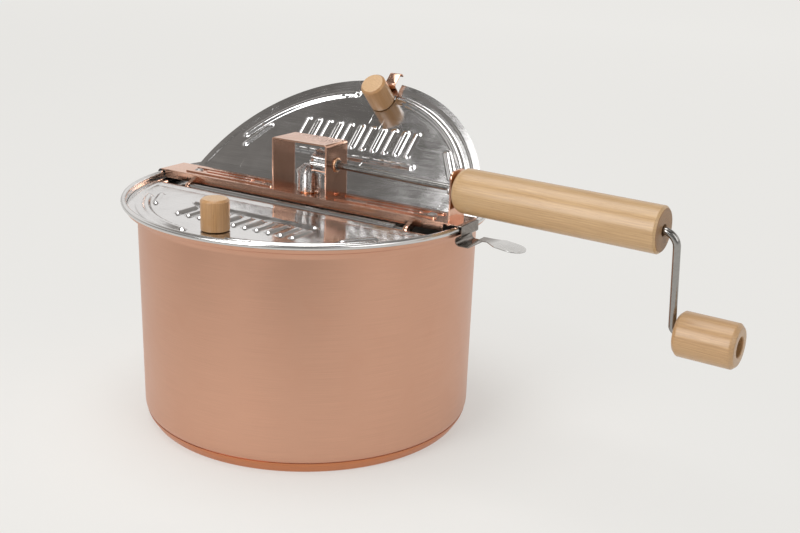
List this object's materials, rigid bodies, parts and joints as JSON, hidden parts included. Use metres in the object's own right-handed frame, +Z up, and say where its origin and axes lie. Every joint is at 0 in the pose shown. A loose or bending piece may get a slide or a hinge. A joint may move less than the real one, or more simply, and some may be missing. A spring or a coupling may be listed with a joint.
{
  "type": "stovetop popcorn popper",
  "caption": "Covered stovetop popping pot with hinged half lids on a crossbar and a hand crank along the handle that turns a stirring wire.",
  "frame": {"origin": "middle of the base disc's flat underside, on the pot's axis and the stirrer's", "axes": "+Z up, +X from the pot towards the handle and crank, -Y towards the closed front lid, +Y towards the open rear lid"},
  "size_m": [0.4366, 0.2552, 0.2325],
  "materials": {
    "pot_copper": "satin copper-coloured stainless steel, finely brushed round the wall",
    "disc_copper": "satin copper-coloured base disc, a little darker than the wall",
    "bright_copper": "bright polished copper-coloured plating",
    "lid_steel": "polished stainless steel with fine polishing lines",
    "strip_steel": "bright spring steel strip",
    "rod_steel": "bright plated steel rod",
    "gear_steel": "machined plated steel",
    "bushing_metal": "plain bearing metal, copper coloured",
    "rivet_steel": "plain steel",
    "handle_wood": "light varnished maple",
    "knob_wood": "caramel varnished wood"
  },
  "bodies": {
    "base": {"pot_shell": "pot_copper", "base_disc": "disc_copper", "crossbar": "bright_copper", "rim_hook": "strip_steel", "latch_spring": "strip_steel", "handle_plate": "bright_copper", "gear_bracket": "bright_copper", "shaft_bushing": "bushing_metal", "crank_bushing": "bushing_metal", "handle": "handle_wood", "handle_screws": "rivet_steel", "hook_rivet": "rivet_steel", "latch_rivet": "rivet_steel", "front_hinge_pin": "rod_steel", "rear_hinge_pin": "rod_steel"},
    "crank": {"crank_shaft": "rod_steel", "drive_gear": "gear_steel", "drive_gear_pin": "rod_steel", "crank_ring": "rod_steel", "knob_cap": "rod_steel"},
    "crank_grip": {"crank_knob": "knob_wood"},
    "stirrer": {"stirrer_shaft": "rod_steel", "stirrer_wire": "rod_steel", "driven_gear": "gear_steel", "driven_gear_pin": "rod_steel", "stirrer_ring": "rod_steel"},
    "front_lid": {"front_lid": "lid_steel", "front_lid_knob": "knob_wood", "front_knob_screw": "rivet_steel"},
    "rear_lid": {"rear_lid": "lid_steel", "rear_lid_knob": "knob_wood", "rear_knob_screw": "rivet_steel", "lid_clip": "bright_copper"},
    "latch": {"latch_tab": "strip_steel"}
  },
  "joints": [
    {"name": "crank_turn", "type": "hinge", "parent": "base", "child": "crank", "pos_m": [0, 0, 0.1818], "axis": [0.9998, 0, -0.021], "continuous": true},
    {"name": "stirrer_turn", "type": "hinge", "parent": "base", "child": "stirrer", "pos_m": [0, 0, 0.1818], "axis": [0, 0, 1], "continuous": true},
    {"name": "crank_grip_turn", "type": "hinge", "parent": "crank", "child": "crank_grip", "pos_m": [0.27859, 0.01117, 0.1119], "axis": [0.9998, 0, -0.021], "continuous": true},
    {"name": "front_lid_hinge", "type": "hinge", "parent": "base", "child": "front_lid", "pos_m": [0, -0.019, 0.1516], "axis": [-1, 0, 0], "range_deg": [0, 85]},
    {"name": "rear_lid_hinge", "type": "hinge", "parent": "base", "child": "rear_lid", "pos_m": [0, 0.019, 0.1516], "axis": [1, 0, 0], "range_deg": [-43.7, 41.3]},
    {"name": "latch_lift", "type": "hinge", "parent": "base", "child": "latch", "pos_m": [0.1281, 0, 0.15825], "axis": [0, -1, 0], "range_deg": [0, 20], "stiffness_Nm_per_rad": 0.4, "springref_deg": -0.57}
  ],
  "couplings": [
    {"joint": "stirrer_turn", "follows": "crank_turn", "ratio": 1}
  ]
}
